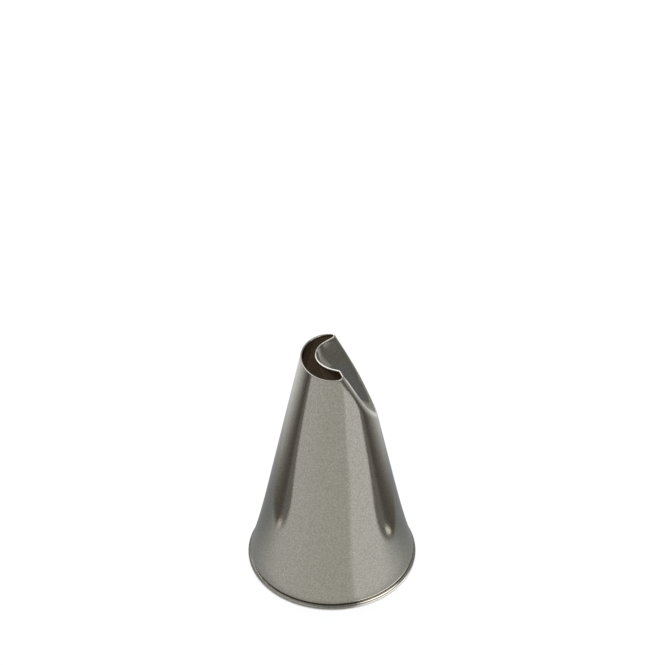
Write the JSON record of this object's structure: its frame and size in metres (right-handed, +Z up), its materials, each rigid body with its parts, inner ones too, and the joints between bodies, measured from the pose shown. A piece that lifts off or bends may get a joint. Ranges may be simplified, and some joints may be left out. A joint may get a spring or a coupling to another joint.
{
  "type": "piping nozzle",
  "caption": "Small conical piping nozzle of pressed sheet steel with a rolled rim and a crescent mouth formed by a groove in one side.",
  "frame": {"origin": "centre of the rim, on the plane that the nozzle stands on", "axes": "+Z up along the cone's axis to the mouth, +X towards the side that the groove is pressed into"},
  "size_m": [0.018, 0.018, 0.028],
  "materials": {
    "pressed_steel": "satin"
  },
  "bodies": {
    "root": {"nozzle_shell": "pressed_steel"}
  },
  "joints": []
}
